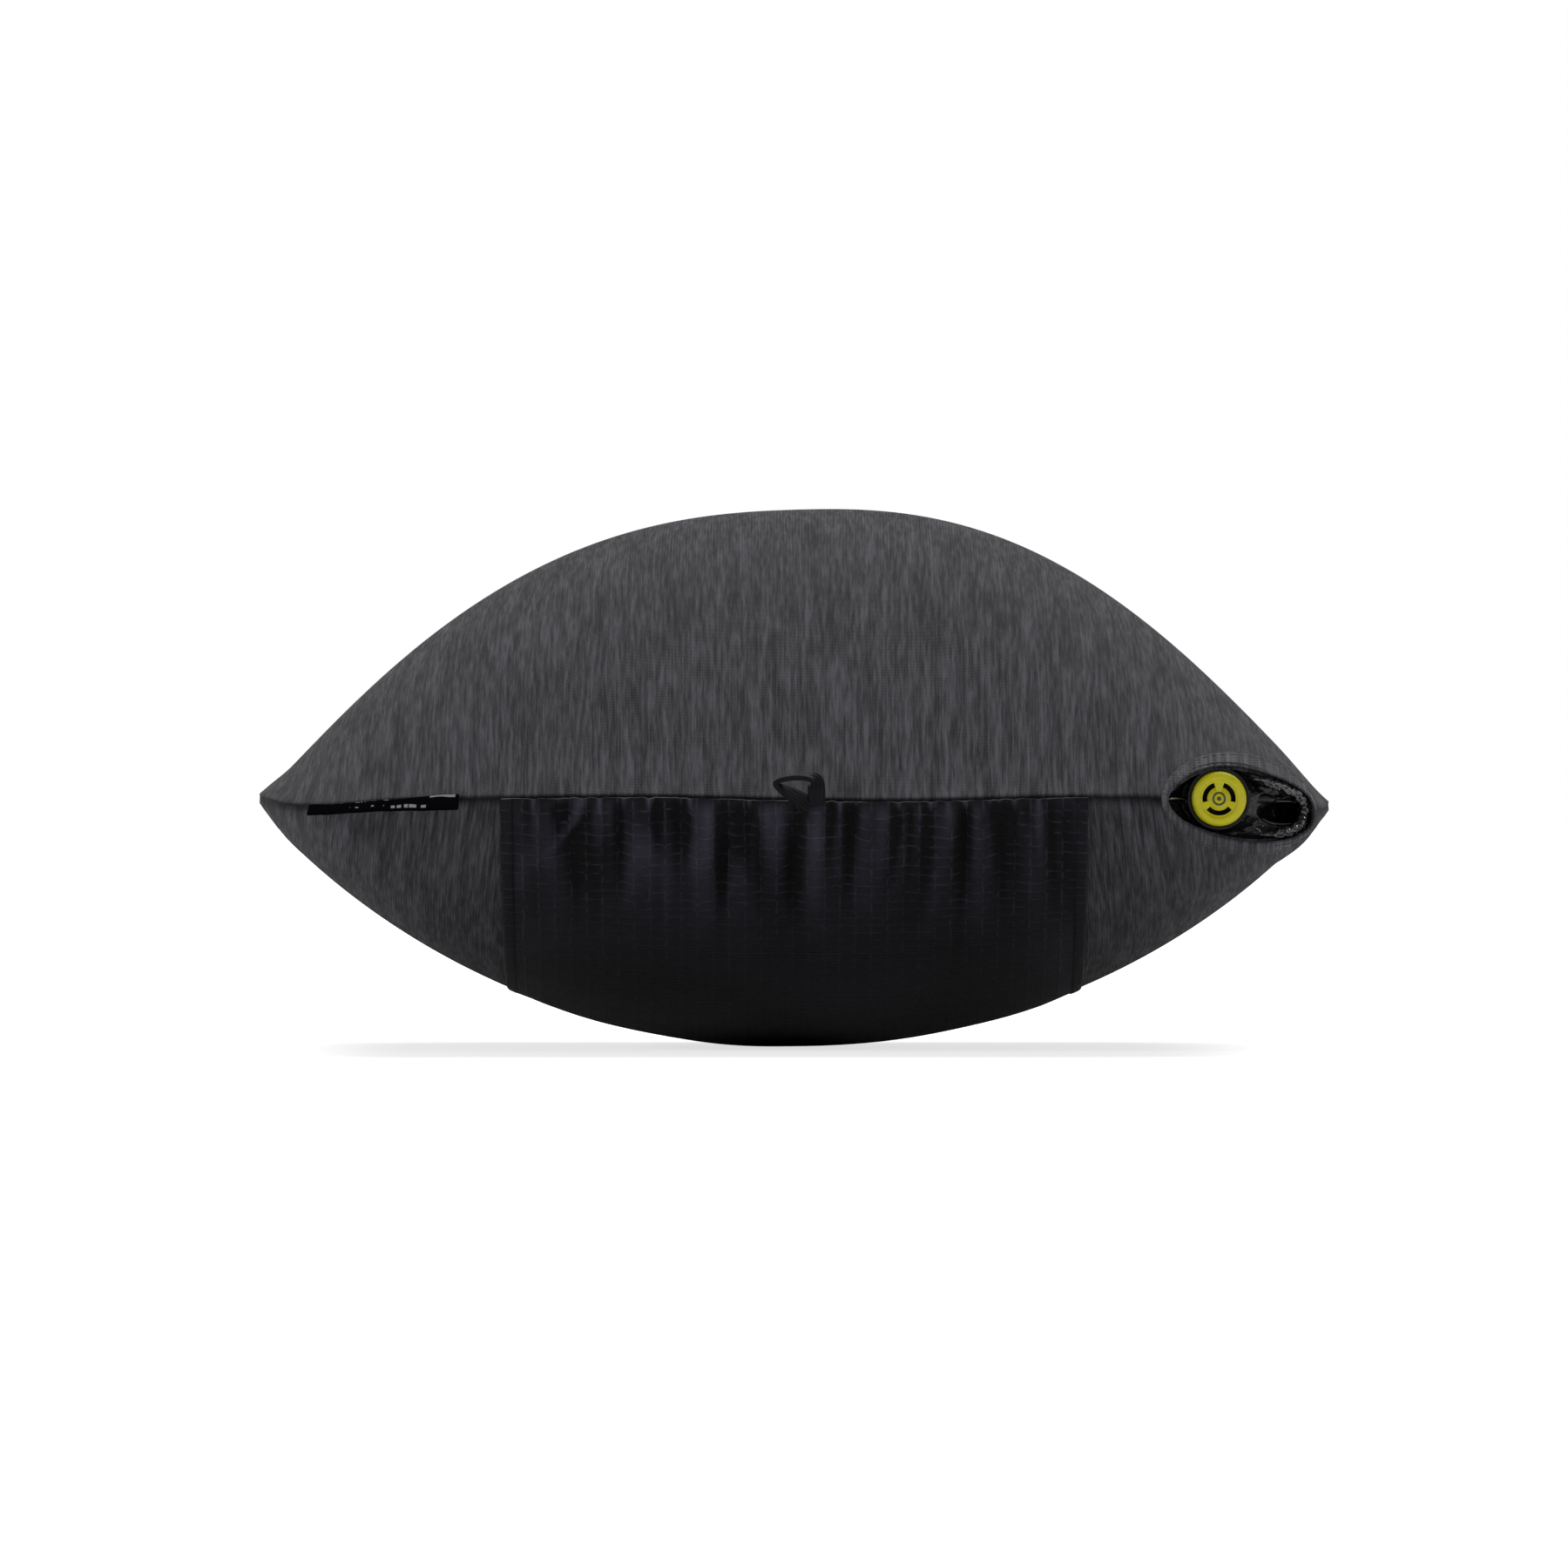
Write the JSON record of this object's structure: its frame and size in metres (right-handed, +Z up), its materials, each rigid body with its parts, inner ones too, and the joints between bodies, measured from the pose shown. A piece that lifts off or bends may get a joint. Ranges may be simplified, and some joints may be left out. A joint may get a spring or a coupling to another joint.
{
  "type": "camp pillow",
  "caption": "Inflatable camp pillow: knitted cover over a foam topper and an air core, with a push valve in one corner, a flat stuff sack underneath, a side label and a webbing hang loop.",
  "frame": {"origin": "centre of the flat patch on the underside that the pillow rests on", "axes": "+Z up out of the rest face, +Y along the long side and away from the short side that carries the valve, X across"},
  "size_m": [0.31, 0.4276, 0.1599],
  "materials": {
    "heather_knit": "brushed heather jersey laminated to a thin backing",
    "binding_tape": "matt woven tape",
    "coated_ripstop": "smooth coated ripstop with a faint sheen",
    "elastic": "covered flat elastic",
    "foam": "open-cell foam sheet",
    "coated_film": "glossy coated air film",
    "black_plastic": "moulded, satin",
    "yellow_plastic": "moulded, satin",
    "silicone": "translucent grey",
    "spring_steel": "drawn wire",
    "satin_label": "glossy woven satin",
    "webbing": "ribbed narrow webbing"
  },
  "bodies": {
    "pillow": {"cover_top_panel": "heather_knit", "cover_bottom_panel": "heather_knit", "seam_tape": "binding_tape", "port_hem": "heather_knit", "sack_panel": "coated_ripstop", "sack_left_edge": "coated_ripstop", "sack_right_edge": "coated_ripstop", "sack_mouth_hem": "coated_ripstop", "sack_mouth_elastic": "elastic", "foam_topper": "foam", "core_top_sheet": "coated_film", "core_bottom_sheet": "coated_film", "core_weld_band": "coated_film", "core_baffle_1": "coated_film", "core_baffle_2": "coated_film", "core_baffle_3": "coated_film", "valve_housing": "black_plastic", "valve_spring": "spring_steel", "side_label": "satin_label"},
    "valve_button": {"valve_button": "yellow_plastic", "valve_poppet": "black_plastic", "valve_seal": "silicone", "stem_clip": "spring_steel"},
    "hang_loop": {"hang_loop": "webbing"}
  },
  "joints": [
    {"name": "button_press", "type": "slide", "parent": "pillow", "child": "valve_button", "axis": [0, 1, 0], "range_m": [0, 0.003], "stiffness_N_per_m": 400, "deforming": ["valve_spring"]},
    {"name": "loop_swing", "type": "hinge", "parent": "pillow", "child": "hang_loop", "pos_m": [0.0018, -0.21244, 0.0741], "axis": [1, 0, 0], "range_deg": [-30, 180], "stiffness_Nm_per_rad": 0.004}
  ]
}
